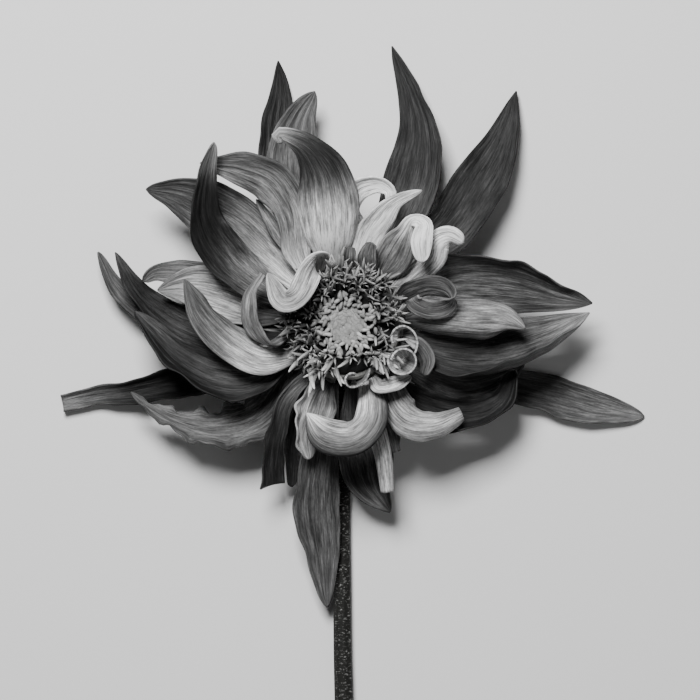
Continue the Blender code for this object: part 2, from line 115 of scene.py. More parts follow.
# skins that differ from the usual one, with painted shade and light in their greys, lean and edges
LOOKS = {
    "tall_petal_top": dict(tones=(0.4, 0.18, 0.15, 0.16), ribs=6, depth=1.3, wave=0.3),
    "tall_petal_upper_right": dict(tones=(0.4, 0.17, 0.14, 0.16), ribs=6, depth=1.3, wave=0.3),
    "back_petal_top": dict(tones=(0.2, 0.13, 0.11)),
    "ridged_petal_top": dict(tones=(0.3, 0.27, 0.34), depth=1.8),
    "arched_petal_top": dict(tones=(0.5, 0.75, 0.95, 0.95), wave=0.1),
    "horned_petal_top": dict(tones=(0.98, 0.98, 0.9, 0.85), wave=0.4),
    "hooked_petal_top": dict(tones=(0.98, 0.98, 0.66, 0.2, 0.2, 0.9), wave=0.2),
    "fan_petal_upper_right": dict(tones=(0.3, 0.38, 0.5, 0.9, 0.98, 0.99)),
    "hook_petal_upper_right": dict(tones=(0.5, 0.8, 0.95), wave=0.1),
    "arching_petal_upper_left": dict(tones=(0.9, 0.45, 0.3, 0.4)),
    "strip_petal_upper_left": dict(tones=(0.5, 0.5, 0.4)),
    "broad_petal_upper_left": dict(tones=(0.9, 0.42, 0.22, 0.24), ribs=6, depth=1.4),
    "dark_petal_upper_left": dict(tones=(0.3, 0.36, 0.12, 0.1, 0.45), lean=0.4),
    "grey_petal_left": dict(tones=(0.2, 0.55, 0.55, 0.5), wave=0.6, depth=2.0),
    "pointed_petal_left": dict(tones=(0.12, 0.2, 0.14, 0.1, 0.25)),
    "back_petal_left": dict(tones=(0.12, 0.2, 0.3)),
    "back_curl_petal_left": dict(tones=(0.12, 0.3, 0.35)),
    "spear_petal_left": dict(tones=(0.4, 0.72, 0.45, 0.3, 0.3), ribs=3, depth=1.8),
    "boat_petal_left": dict(tones=(0.3, 0.22, 0.12, 0.22), depth=1.3, lean=0.9),
    "broad_petal_lower_left": dict(tones=(0.2, 0.34, 0.3), wave=1.2, ripple=0.9, lean=0.3),
    "quill_petal_left": dict(tones=(0.08, 0.08, 0.1, 0.4), wave=0.3, blunt=True),
    "strip_petal_lower_left": dict(tones=(0.3, 0.2, 0.2)),
    "hanging_petal_lower_left": dict(tones=(0.45, 0.2, 0.14, 0.2), blunt=True),
    "hanging_petal_bottom": dict(tones=(0.3, 0.27, 0.3), ribs=5, depth=1.4),
    "crumpled_petal_bottom": dict(tones=(0.2, 0.5, 0.5, 0.6), wave=0.7, ripple=0.8, lean=0.6),
    "curled_petal_bottom": dict(tones=(0.68, 0.7, 0.56, 0.48, 0.5, 0.98), wave=0.2, lean=0.95),
    "boat_petal_bottom": dict(tones=(0.3, 0.26, 0.3), depth=1.8),
    "rolled_petal_bottom": dict(tones=(0.4, 0.6, 0.66), wave=0.1, blunt=True),
    "scrap_petal_bottom": dict(tones=(0.4, 0.3, 0.3), blunt=True, wave=0.8, ripple=1.2),
    "crumpled_petal_lower_right": dict(tones=(0.25, 0.52, 0.56), wave=0.25, ripple=0.8, blunt=True),
    "lip_petal_lower_right": dict(tones=(0.6, 0.7, 0.7), wave=0.3, painted_edge_shade=-0.4),
    "folded_petal_lower_right": dict(tones=(0.14, 0.11, 0.11), depth=1.4),
    "quill_petal_right": dict(tones=(0.15, 0.2, 0.25, 0.4), wave=0.3, depth=1.6),
    "dark_petal_right": dict(tones=(0.22, 0.24, 0.24), depth=1.8),
    "boat_petal_right": dict(tones=(0.18, 0.18, 0.24, 0.5), ribs=5, depth=2.2),
    "rolled_petal_right": dict(tones=(0.3, 0.4, 0.46, 0.55), wave=0.2),
    "broad_petal_right": dict(tones=(0.5, 0.3, 0.28, 0.3), ribs=6, depth=1.8),
    "tongue_petal_right": dict(tones=(0.3, 0.32, 0.32)),
    "ring_petal_right": dict(tones=(0.2, 0.3, 0.4, 0.42), wave=0.08, blunt=True),
    "short_petal_top_right": dict(tones=(0.35, 0.35)),
    "short_petal_top_left": dict(tones=(0.35, 0.35)),
    "wavy_ribbon_petal": dict(tones=(0.85, 0.6, 0.55), painted_edge_shade=-0.5),
    "side_ribbon_petal": dict(tones=(0.4, 0.4, 0.5), blunt=True, wave=0.3),
    "upper_scroll_petal": dict(tones=(0.4, 0.55, 0.6), wave=0.1, blunt=True, painted_edge_shade=-0.4),
    "lower_scroll_petal": dict(tones=(0.3, 0.5, 0.6), wave=0.1, blunt=True, painted_edge_shade=-0.4),
    "small_scroll_petal": dict(tones=(0.3, 0.5, 0.6), wave=0.1, blunt=True),
}


PETALS = (
    # the lowest ones, most of them in the back row
    Petal("tall_petal_top", 1, 57,
          ((10, 19, 13), (13.6, 29, 10), (14.8, 38, 6.6), (13.2, 46, 3.6), (9.4, 56, 1.6)),
          (3, 8.5, 11.8, 9.2, 5.2, 0.7), (26,), (26,)),
    Petal("tall_petal_upper_right", 0, 40,
          ((15, 14.5, 11.5), (21.7, 20.2, 9), (27.1, 28.3, 6), (31.5, 36.6, 3.5), (34.4, 47, 1.6)),
          (3, 8, 10.8, 11, 7, 0.7), (30,), (30,)),
    Petal("back_petal_top", 0, 113,
          ((-9, 20, 9), (-12.5, 30, 5.6), (-13.6, 39, 3), (-13, 46, 1.4), (-13.4, 53.2, 0.5)),
          (3, 7, 9, 8.5, 5.5, 0.7)),
    Petal("back_curl_petal_left", 0, 160,
          ((-20, 7.4, 11), (-30, 9.8, 10.5), (-37, 10.4, 10.5), (-40.2, 8.6, 10.5)),
          (3, 6, 7, 5, 2)),
    Petal("back_petal_left", 0, 184,
          ((-22, -0.6, 9), (-33, 0.8, 6.4), (-41, 3.5, 5.4), (-46, 8, 5), (-49.4, 14.6, 5)),
          (3, 6, 7, 6.5, 4, 1.2)),
    Petal("quill_petal_left", 0, 212,
          ((-20, -9.6, 8.4), (-32, -12, 4), (-42, -13.8, 1.6), (-50, -14.6, 0.6),
           (-56.8, -16, 0.5)),
          (3, 6, 8, 8, 5.5, 4.6), (80,), (80,)),
    Petal("strip_petal_lower_left", 0, 238,
          ((-9.4, -17, 9.4), (-10.6, -24, 6.8), (-10.7, -32.4, 4.2)),
          (2.4, 3, 3, 2)),
    Petal("hanging_petal_bottom", 0, 257,
          ((-4, -19, 12), (-5.2, -27, 10.4), (-5.8, -36, 8), (-4.8, -45, 6), (-3.6, -56.5, 5)),
          (3, 6, 8.5, 9.5, 6.5, 1.6), (30,), (30,)),
    Petal("scrap_petal_bottom", 0, 294,
          ((7.2, -17, 12.4), (9, -21.4, 11.9), (10.2, -25.2, 11.7)),
          (3, 4.4, 4, 1.6)),
    Petal("boat_petal_bottom", 0, 278,
          ((2.6, -20, 9.2), (4, -26, 7.4), (5.4, -32, 6.4), (9, -37.4, 6.4)),
          (3, 6.6, 11, 9, 1.2), (0, 10, 60, 60), (10, 10, 20, 40)),
    Petal("folded_petal_lower_right", 1, 308,
          ((14.5, -16, 12.8), (24, -18.5, 12), (31, -15.5, 10.8), (33.8, -9, 10.8)),
          (3, 7, 9, 7, 3), (60,), (60,)),
    Petal("quill_petal_right", 0, 321,
          ((20, -10.8, 5.8), (31, -12.2, 2), (40, -14, 0.8), (50, -16.8, 0.5), (60.2, -18.4, 0.5)),
          (3, 5, 7, 8.5, 8, 2.2), (48,), (48,)),
    Petal("dark_petal_right", 1, 327,
          ((17, -8.6, 12), (24, -10.2, 8.6), (31, -9, 7), (36, -6, 6.8)),
          (3, 9, 12, 9, 2), (-12,), (-22,)),
    # second row
    Petal("broad_petal_right", 1, 20,
          ((20, 8.3, 13.6), (28, 9, 13.4), (35, 8, 12.6), (42, 6, 11.8), (49, 4.2, 11.6)),
          (3, 10, 14, 13, 8, 1), (10, 60, 70, 50), (10,)),
    Petal("ridged_petal_top", 1, 93,
          ((-5, 19, 13.2), (-9, 27, 11.6), (-10.2, 34.5, 9.6), (-9, 41, 8.4), (-6, 46.5, 8)),
          (3, 8, 11, 11, 8, 2)),
    Petal("strip_petal_upper_left", 1, 117,
          ((-11, 15, 17.1), (-14.5, 20, 18.1), (-17.4, 24.6, 18.1)),
          (2.4, 2.6, 2.4, 0.8)),
    Petal("broad_petal_upper_left", 1, 140,
          ((-15, 13.5, 15), (-21, 19, 14.8), (-28, 23.5, 13.6), (-34, 26, 12.4), (-39.4, 26.8, 12)),
          (3, 9, 12, 12, 8, 1.6)),
    Petal("grey_petal_left", 1, 170,
          ((-17.5, 3.5, 15), (-24, 6, 15), (-31, 7.5, 14.4), (-37, 6.8, 14)),
          (3, 9, 11, 8, 1.2), (25,), (25,)),
    Petal("pointed_petal_left", 1, 192,
          ((-20, -3.2, 12.6), (-29, -1.5, 11.2), (-36, 2, 10.4), (-41.5, 7, 10), (-45.6, 14.4, 10)),
          (3, 7, 8, 7, 4.5, 0.8), (25,), (25,)),
    Petal("broad_petal_lower_left", 1, 215,
          ((-16, -17, 11.6), (-24, -20.2, 10.4), (-32, -19.3, 9.6), (-38.5, -16.5, 9.2),
           (-42.6, -13.4, 9.2)),
          (3, 8.5, 9.5, 8, 4, 0.8), (10,), (-35,)),
    Petal("hanging_petal_lower_left", 1, 236,
          ((-11.8, -15, 16), (-13.4, -21.5, 15), (-14.4, -27, 12.4), (-14.6, -31.8, 9.4)),
          (2.5, 3.6, 4, 4.8, 5.6), (45, 45, 20), (45, 45, 20)),
    Petal("rolled_petal_bottom", 1, 288,
          ((5.4, -18, 15.3), (7.2, -25, 15.4), (8.3, -33.2, 13.8)),
          (3, 7.5, 8, 7), (-80, -130, -165), (-80, -130, -165)),
    Petal("boat_petal_right", 1, 346,
          ((20, -6, 13.8), (30, -6.6, 12.6), (39, -3.8, 11.6), (45, -0.2, 11.6), (48.4, 2.4, 12)),
          (3, 10, 14.6, 14.4, 10, 1), (20,), (30, 110, 140, 100)),
    # third row, and one of the second among them
    Petal("rolled_petal_right", 2, 4,
          ((17, 1, 19), (24, 0.8, 19.8), (31, 0.6, 18.6), (35.5, -0.8, 17)),
          (3, 9, 11, 10.5, 1), (-80,), (-90,)),
    Petal("hook_petal_upper_right", 2, 33,
          ((14, 10, 17.6), (16.8, 12.8, 21), (17.8, 15.8, 23.4), (20.2, 17, 24.2),
           (23, 15.8, 23.6)),
          (3, 4.4, 5.4, 5.8, 5, 3), (0, -50, -60), (0, -50, -60)),
    Petal("fan_petal_upper_right", 2, 54,
          ((9.5, 13.2, 19), (11.6, 17.2, 21.6), (13.4, 20.2, 24), (15.4, 19.2, 25.8),
           (14.8, 15.6, 26.2), (15, 12, 25.4)),
          (3, 7, 7, 3.6, 3, 4.4, 2.4),
          face=((-0.4, -0.5, 1), (-0.2, -0.5, 1), (0.2, 1, 1), (0, 1, 1))),
    Petal("horned_petal_top", 2, 76,
          ((4.2, 16.2, 17.8), (6.6, 20.2, 20.4), (10, 24, 22.2), (15, 26.2, 22.6)),
          (3, 5.2, 6, 3, 0.6), (20,), (-20,)),
    Petal("arched_petal_top", 1, 75,
          ((3, 17.6, 15), (0.6, 22.6, 16.8), (2.4, 26.4, 18.2), (6, 27.6, 19.2), (8.8, 26.2, 19.6),
           (8.6, 23.6, 19.2)),
          (3, 4.8, 4.6, 4.6, 4.6, 3.4, 1.4), (30,), (15,)),
    Petal("hooked_petal_top", 2, 103,
          ((-2.6, 17, 21.6), (-3, 23.5, 25), (-4.2, 29.4, 26.4), (-7.6, 34.2, 26.6),
           (-12.4, 36.6, 26.2), (-12.4, 35.2, 24.4)),
          (4, 10, 12.5, 10.5, 5.5, 2.4), (-25, -25, -30, -60), (-35, -35, -40, -60)),
    Petal("arching_petal_upper_left", 2, 128,
          ((-9.5, 15, 18.2), (-10.5, 22, 20.4), (-14.5, 28.2, 21), (-21, 30.7, 20.4),
           (-28.4, 31.6, 19)),
          (3, 6, 7.5, 8.6, 6.5, 1.2), (30,), (30,)),
    Petal("dark_petal_upper_left", 2, 156,
          ((-17, 8, 18.2), (-23, 13, 20.6), (-27.2, 20, 22.6), (-27, 28, 24), (-25.4, 35.4, 25)),
          (3, 7, 9, 7.5, 4.5, 1.6)),
    Petal("boat_petal_left", 2, 205,
          ((-18, -10.3, 16.2), (-26, -10.3, 15.8), (-33, -6.5, 15), (-38, -1.5, 14.4),
           (-41.5, 2.5, 14.2)),
          (3, 8, 10, 9, 6, 2), (50,), (50,)),
    Petal("crumpled_petal_bottom", 2, 254,
          ((-5, -14, 16.8), (-6.4, -18, 16.4), (-7.8, -22, 15.6), (-7, -26.6, 14.2)),
          (3, 7.8, 8.6, 5.8, 1.6), (15,), (20, 80, 90, 60)),
    Petal("curled_petal_bottom", 2, 292,
          ((5, -15, 19.8), (4.2, -19, 21.2), (0.8, -21.6, 21.6), (-3.8, -21, 21.2),
           (-7.5, -17.4, 20.2)),
          (3, 6.4, 7.8, 8.6, 7.6, 0.8), (-45,), (-50, -50, -40)),
    Petal("crumpled_petal_lower_right", 2, 314,
          ((9.5, -15, 18), (12.6, -18.4, 18.4), (17.4, -19, 17.9), (22.8, -17, 16.9)),
          (3, 7, 8.6, 7.6, 4.4), (0, -60, -70, -90), (0, -60, -70, -90)),
    Petal("tongue_petal_right", 2, 345,
          ((14.6, -4.4, 16.8), (16.2, -7, 17.2), (15.6, -10, 16.8)),
          (2.6, 3.4, 3.4, 2.2)),
    # front row, against the disc, most of them small and curled
    Petal("ring_petal_right", 3, 26,
          ((13, 6.6, 21.2), (16.4, 7.6, 22.8), (19.6, 7, 23.2), (20.9, 5, 23.2), (19.4, 3.2, 23),
           (16.4, 2.9, 23), (13.9, 3.9, 23.2), (12.9, 5, 23.4)),
          (2, 4.2, 4.8, 4.8, 4.8, 4.6), (0,), (0,), side=(0, -0.75, -0.66)),
    Petal("short_petal_top_right", 3, 66,
          ((4.5, 13.2, 20), (5.2, 16, 21.4)), (3, 3.8, 2)),
    Petal("short_petal_top_left", 3, 86,
          ((0.8, 13.2, 19.4), (1, 15.2, 19.8)), (2.6, 2.8, 1.8)),
    Petal("wavy_ribbon_petal", 3, 118,
          ((-5.4, 13, 21), (-6.6, 10.6, 25.4), (-9, 5.6, 26.6), (-12.2, 4.8, 26), (-15, 10, 25.4)),
          (3, 5, 5, 4.6, 4, 1.2), face=((0.5, -0.8, 0.3), (0.3, -0.6, 1), (0, 0, 1), (0, 0, 1))),
    Petal("side_ribbon_petal", 3, 190,
          ((-15, -3.8, 22.4), (-18.2, 0, 23.4), (-18.4, 5.5, 23.8), (-16, 9.8, 24)),
          (3, 4.4, 5, 4.4, 2), (0,), (0,), side=(0.6, 0, 0.8)),
    Petal("spear_petal_left", 3, 212,
          ((-16.5, -6.5, 20.2), (-22.5, -3, 21), (-27.5, 2, 21), (-31.4, 8.8, 21)),
          (3, 7, 8, 6.5, 0.8), (-30,), (-30,)),
    Petal("small_scroll_petal", 3, 277,
          ((1.6, -12.2, 20), (1.7, -12.3, 23)), (3, 8, 10.6), (20, 70, 80), (20, 200, 215)),
    Petal("lip_petal_lower_right", 3, 298,
          ((6.9, -12.3, 20.4), (10.2, -11.5, 20.8), (13, -10.2, 20.2)),
          (1.6, 3.2, 3.4, 1.2)),
    Petal("lower_scroll_petal", 3, 326,
          ((13.2, -8.4, 19.8), (13.5, -8.5, 24.2)), (3, 9.4, 16.6), (20, 180, 195), (20, 165, 170)),
    Petal("upper_scroll_petal", 3, 352,
          ((12.9, -1.1, 20), (12.4, -0.6, 22.8)), (2, 8, 12), (10, 140, 155), (10, 80, 90),
          face=((-1, 0.1, 0.4), (-0.7, -0.7, 0.4), (-0.6, -0.8, 0.4))),
)


# ---- sizes and colours a user would change ----

class DahliaPetalSettings(bpy.types.PropertyGroup):
    """How the petals are finished."""
    thickness: bpy.props.FloatProperty(
        name="Petal thickness", description="Thickness of a petal's blade",
        default=0.00034, min=0.0001, max=0.001, unit='LENGTH')
    rib_depth: bpy.props.FloatProperty(
        name="Rib depth", description="Depth of the long grooves between the veins",
        default=0.00008, min=0.0, max=0.001, unit='LENGTH')
    roughness: bpy.props.FloatProperty(
        name="Roughness", description="Roughness of the petals' skin",
        default=0.46, min=0.0, max=1.0, subtype='FACTOR')


class DahliaDiscSettings(bpy.types.PropertyGroup):
    """How the disc of small florets is made."""
    florets: bpy.props.IntProperty(
        name="Florets", description="How many disc florets are packed on the head",
        default=330, min=50, max=900)
    radius: bpy.props.FloatProperty(
        name="Disc radius", description="Radius of the disc at its base",
        default=0.0104, unit='LENGTH')
    colour: bpy.props.FloatVectorProperty(
        name="Floret colour", description="Colour of the open florets",
        default=(0.85, 0.85, 0.84), size=3, subtype='COLOR')


class DahliaStemSettings(bpy.types.PropertyGroup):
    """How the stem and the bracts are finished."""
    stem_colour: bpy.props.FloatVectorProperty(
        name="Stem colour", description="Ground colour of the stem's skin",
        default=(0.012, 0.012, 0.011), size=3, subtype='COLOR')
    speckle_colour: bpy.props.FloatVectorProperty(
        name="Speckle colour", description="Colour of the fine speckles on the stem",
        default=(0.3, 0.3, 0.29), size=3, subtype='COLOR')
    bract_colour: bpy.props.FloatVectorProperty(
        name="Bract colour", description="Colour of the bracts behind the head",
        default=(0.16, 0.16, 0.155), size=3, subtype='COLOR')


# ---- curves ----

def blend_along(values, place):
    """Read evenly spaced values at a place from 0 to 1, on a smooth curve."""
    points = np.atleast_1d(np.asarray(values, float))
    last = len(points) - 1
    if last == 0:
        return points[0]
    at = min(max(place, 0.0), 1.0) * last
    first = min(int(at), last - 1)
    t = at - first
    p1 = points[first]
    p2 = points[first + 1]
    p0 = points[first - 1] if first > 0 else 2 * p1 - p2
    p3 = points[first + 2] if first + 2 <= last else 2 * p2 - p1
    cubic = (3 * p1 - p0 - 3 * p2 + p3) * t ** 3
    square = (2 * p0 - 5 * p1 + 4 * p2 - p3) * t ** 2
    return 0.5 * (2 * p1 + (p2 - p0) * t + square + cubic)


def unit(vector):
    """Return the vector at length 1."""
    return vector / np.linalg.norm(vector)


class Midrib:
    """A smooth curve through the spine points, read by length along it."""

    SAMPLES = 160

    def __init__(self, points):
        places = np.linspace(0, 1, self.SAMPLES)
        self.track = np.array([blend_along(points, p) for p in places])
        runs = np.linalg.norm(np.diff(self.track, axis=0), axis=1)
        self.length = runs.sum()
        self.reach = np.concatenate(([0], np.cumsum(runs))) / self.length

    def point(self, place):
        return np.array([np.interp(place, self.reach, axis) for axis in self.track.T])

    def heading(self, place):
        ahead = self.point(min(place + 0.01, 1.0))
        return unit(ahead - self.point(max(place - 0.01, 0.0)))


def claw_point(petal):
    """Where the petal leaves the receptacle."""
    turn = math.radians(petal.angle)
    return np.array((CLAW_RADIUS * math.cos(turn), CLAW_RADIUS * math.sin(turn),
                     CLAW_HEIGHTS[petal.row]))


def face_vector(petal, place, heading):
    """The way the upper face looks at a place along the petal."""
    if petal.side:
        return unit(np.cross(petal.side, heading))
    turn = math.radians(petal.angle)
    inwards = (-0.6 * math.cos(turn), -0.6 * math.sin(turn), 1.0)
    wanted = blend_along(petal.face or (inwards, inwards), place)
    return unit(wanted - np.dot(wanted, heading) * heading)


# ---- the petal's sheet ----

ACROSS_SUMS = 24        # steps in which the curl is added up from midrib to edge
TIP_START = 0.93        # where along the blade its tip begins to round off
TIP_BLUNTNESS = 2.4     # 2 is a round tip, more is a squarer one
TIP_END = 0.012         # square of the share of the width kept at the very tip
NARROWEST = 0.25        # flat width, mm
EDGE_SHARE = 0.55       # how much shallower the grooves are at the edges


def tip_share(place):
    """How much of its width the blade keeps as its tip rounds off."""
    past = max(0.0, (place - TIP_START) / (1 - TIP_START))
    return math.sqrt(max(1 - past ** TIP_BLUNTNESS, TIP_END))


def petal_section(petal, midrib, place, acrosses, rib_depth, phase):
    """The points of one cross-section, for each place from edge to edge."""
    heading = midrib.heading(place)
    face = face_vector(petal, place, heading)
    right = np.cross(heading, face)
    half = max(float(blend_along(petal.width, place)), NARROWEST) / 2
    if not petal.blunt:
        half *= tip_share(place)
    curls = {1: math.radians(blend_along(petal.right, place)),
             -1: math.radians(blend_along(petal.left, place))}
    middle = midrib.point(place)
    length_share = midrib.length * place
    body = math.sin(math.pi * min(max(place, 0.0), 1.0)) ** 0.6
    spots = []
    for across in acrosses:
        hand = 1 if across > 0 else -1
        steps = (np.arange(ACROSS_SUMS) + 0.5) / ACROSS_SUMS * abs(across)
        angles = curls[hand] * steps
        run = half * abs(across) / ACROSS_SUMS
        out = hand * np.cos(angles).sum() * run
        up = np.sin(angles).sum() * run
        edge_angle = curls[hand] * abs(across)
        normal = face * math.cos(edge_angle) - right * hand * math.sin(edge_angle)
        ribs = math.cos(across * math.pi * petal.ribs)
        lift = rib_depth * petal.depth * body * ribs * (1 - EDGE_SHARE * across ** 4)
        # two waves of unlike length, so that no stretch of an edge repeats
        wave = petal.wave * abs(across) ** 3 * body
        lift += wave * math.sin(length_share * petal.ripple + phase + 1.9 * hand)
        lift += 0.45 * wave * math.sin(length_share * petal.ripple * 2.3 + 2.1 * phase - hand)
        spots.append(middle + right * out + face * up + normal * lift)
    return spots


def shade_at(petal, place, across):
    """Tone of the skin at a place, with painted light and shade: from claw to tip, from side to
    side and at the edges.
    """
    tone = float(blend_along(petal.tones, place)) ** 2 * (1 + petal.lean * across)
    return min(max(tone * (1 - petal.painted_edge_shade * abs(across) ** 2.5), 0.01), 0.95)


def finish_mesh(name, shape, material, slot, *nodes):
    """Turn a shape in head millimetres into a placed piece that rides and replaces."""
    mesh = bpy.data.meshes.new(name)
    shape.to_mesh(mesh)
    shape.free()
    mesh.shade_smooth()
    mesh.materials.append(material)
    mesh.transform(Matrix.Translation(Vector(HEAD_CENTRE)) @ Matrix.Scale(MM, 4))
    piece = bpy.data.objects.new(name, mesh)
    bpy.context.scene.collection.objects.link(piece)
    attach(piece, BODY)
    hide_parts(*nodes)
    return piece


def build_sheet(petal, claw, material, slot, thickness, rib_depth, steps, sides):
    """Shape a flat grid into the petal, with its veins' map and its tones, which hold painted light
    and shade.
    """
    midrib = Midrib(np.array((tuple(claw),) + petal.spine))
    phase = petal.angle * 0.7 + petal.row
    acrosses = np.linspace(-1, 1, sides + 1)
    sections = [petal_section(petal, midrib, step / steps, acrosses, rib_depth, phase)
                for step in range(steps + 1)]
    shape = bmesh.new()
    bmesh.ops.create_grid(shape, x_segments=steps, y_segments=sides, size=1)
    veins = shape.loops.layers.uv.new("veins")
    tone = shape.verts.layers.float.new("tone")
    # the map is in centimetres, and every petal lies on a stretch of its own
    broad = max(petal.width) / 10
    reach = midrib.length / 10
    start = petal.angle * 0.37 + petal.row * 11
    grid = {}
    for vert in shape.verts:
        step = round((vert.co.x + 1) / 2 * steps)
        side = round((1 - vert.co.y) / 2 * sides)
        grid[vert] = (step, side)
    for face in shape.faces:
        for loop in face.loops:
            step, side = grid[loop.vert]
            loop[veins].uv = (start + step / steps * reach, acrosses[side] * broad)
    for vert, (step, side) in grid.items():
        vert[tone] = shade_at(petal, step / steps, acrosses[side])
        vert.co = Vector(sections[step][side])
    piece = finish_mesh(petal.name + "_blade", shape, material, slot, petal.name)
    wall = piece.modifiers.new("thickness", 'SOLIDIFY')
    wall.thickness = thickness
    wall.offset = 0
    wall.use_quality_normals = True
    return piece


# ---- materials ----

def new_material(name, roughness, specular, sheen=0.0, subsurface=0.0):
    """A Principled material, its node tree and its shader."""
    material = bpy.data.materials.new(name)
    material.use_nodes = True
    shader = material.node_tree.nodes["Principled BSDF"]
    shader.inputs["Roughness"].default_value = roughness
    shader.inputs["Specular IOR Level"].default_value = specular
    shader.inputs["Sheen Weight"].default_value = sheen
    shader.inputs["Subsurface Weight"].default_value = subsurface
    shader.inputs["Subsurface Scale"].default_value = 0.001
    shader.inputs["Subsurface Radius"].default_value = (1.0, 1.0, 1.0)
    return material, material.node_tree, shader


def add_node(tree, kind, **settings):
    """Add a node and set its properties."""
    node = tree.nodes.new(kind)
    for key, value in settings.items():
        setattr(node, key, value)
    return node


def scaled_noise(tree, source, scale, detail=3.0, roughness=0.55):
    """Noise on a stretched copy of a coordinate."""
    mapping = add_node(tree, "ShaderNodeMapping")
    mapping.inputs["Scale"].default_value = scale
    tree.links.new(source, mapping.inputs["Vector"])
    noise = add_node(tree, "ShaderNodeTexNoise")
    noise.inputs["Scale"].default_value = 1.0
    noise.inputs["Detail"].default_value = detail
    noise.inputs["Roughness"].default_value = roughness
    tree.links.new(mapping.outputs["Vector"], noise.inputs["Vector"])
    return noise.outputs["Fac"]


def ranged(tree, value, low, high, to_low, to_high):
    """Stretch a value's range to another."""
    node = add_node(tree, "ShaderNodeMapRange")
    tree.links.new(value, node.inputs["Value"])
    node.inputs["From Min"].default_value = low
    node.inputs["From Max"].default_value = high
    node.inputs["To Min"].default_value = to_low
    node.inputs["To Max"].default_value = to_high
    return node.outputs["Result"]


def calculated(tree, operation, first, second):
    """A Math node on two values, each a socket or a number."""
    node = add_node(tree, "ShaderNodeMath", operation=operation)
    for number, value in enumerate((first, second)):
        if isinstance(value, (int, float)):
            node.inputs[number].default_value = value
        else:
            tree.links.new(value, node.inputs[number])
    return node.outputs["Value"]


def add_bump(tree, shader, height, strength, distance):
    """Raise the shader's surface by a height."""
    bump = add_node(tree, "ShaderNodeBump")
    bump.inputs["Strength"].default_value = strength
    bump.inputs["Distance"].default_value = distance
    tree.links.new(height, bump.inputs["Height"])
    tree.links.new(bump.outputs["Normal"], shader.inputs["Normal"])


def blend_base(tree, shader, factor, first, second):
    """Blend the shader's base colour from one colour to another."""
    mix = add_node(tree, "ShaderNodeMix", data_type='RGBA')
    mix.inputs["A"].default_value = (*first, 1)
    mix.inputs["B"].default_value = (*second, 1)
    tree.links.new(factor, mix.inputs["Factor"])
    tree.links.new(mix.outputs["Result"], shader.inputs["Base Color"])


def petal_material(roughness):
    """Grey petal skin with long fine veins, pale and dark streaks and small blemishes, over greys
    that hold painted light and shade.
    """
    material, tree, shader = new_material("dahlia_petal", roughness, 0.16, subsurface=0.05)
    tone = add_node(tree, "ShaderNodeAttribute", attribute_name="tone").outputs["Fac"]
    veins = add_node(tree, "ShaderNodeUVMap", uv_map="veins").outputs["UV"]
    patches = scaled_noise(tree, veins, (1.4, 2.4, 1.0), 3.0)
    broad = scaled_noise(tree, veins, (0.5, 6.0, 1.0), 3.0)
    fine = scaled_noise(tree, veins, (2.0, 14.0, 1.0), 3.0)
    hair = scaled_noise(tree, veins, (3.4, 28.0, 1.0), 3.0)
    mottle = scaled_noise(tree, veins, (14.0, 22.0, 1.0), 4.0, 0.65)
    grey = tone
    for noise, swing in ((broad, 0.4), (fine, 0.6), (patches, 0.45), (hair, 0.45), (mottle, 0.3)):
        grey = calculated(tree, 'MULTIPLY', grey,
                          ranged(tree, noise, 0.3, 0.7, 1 - swing, 1 + swing))
    grey = calculated(tree, 'MINIMUM', grey, 0.92)
    colour = add_node(tree, "ShaderNodeCombineColor")
    for channel in ("Red", "Green", "Blue"):
        tree.links.new(grey, colour.inputs[channel])
    tree.links.new(colour.outputs["Color"], shader.inputs["Base Color"])
    height = calculated(tree, 'ADD', calculated(tree, 'MULTIPLY', fine, 0.7),
                        calculated(tree, 'MULTIPLY', hair, 0.3))
    add_bump(tree, shader, height, 0.6, 0.0005)
    return material


def floret_material(name, low, high, colour):
    """Matt skin of the small florets: black at the foot, painted shade among the crowded florets,
    paler at the tips.
    """
    material, tree, shader = new_material(name, 0.55, 0.35, sheen=0.1, subsurface=0.15)
    tone = add_node(tree, "ShaderNodeAttribute", attribute_name="tone").outputs["Fac"]
    place = add_node(tree, "ShaderNodeTexCoord").outputs["Object"]
    speckle = scaled_noise(tree, place, (1400.0, 1400.0, 1400.0), 2.0)
    shade = calculated(tree, 'MULTIPLY', ranged(tree, tone, 0.0, 1.0, 0.0, 1.0),
                       ranged(tree, speckle, 0.3, 0.7, low, high))
    # near black at the foot: painted shade among the crowded florets
    blend_base(tree, shader, shade, (0.02, 0.02, 0.02), colour)
    add_bump(tree, shader, speckle, 0.25, 0.0002)
    return material


def green_material(name, colour, pale):
    """Dull skin of bracts and receptacle with lengthwise veins and pale flecks."""
    material, tree, shader = new_material(name, 0.8, 0.1)
    place = add_node(tree, "ShaderNodeTexCoord").outputs["Object"]
    patches = scaled_noise(tree, place, (420.0, 420.0, 160.0), 4.0)
    flecks = scaled_noise(tree, place, (1900.0, 1900.0, 700.0), 2.0)
    amount = calculated(tree, 'MULTIPLY', ranged(tree, patches, 0.35, 0.7, 0.1, 0.9),
                        ranged(tree, flecks, 0.35, 0.65, 0.4, 1.0))
    blend_base(tree, shader, amount, colour, pale)
    add_bump(tree, shader, patches, 0.35, 0.0004)
    return material


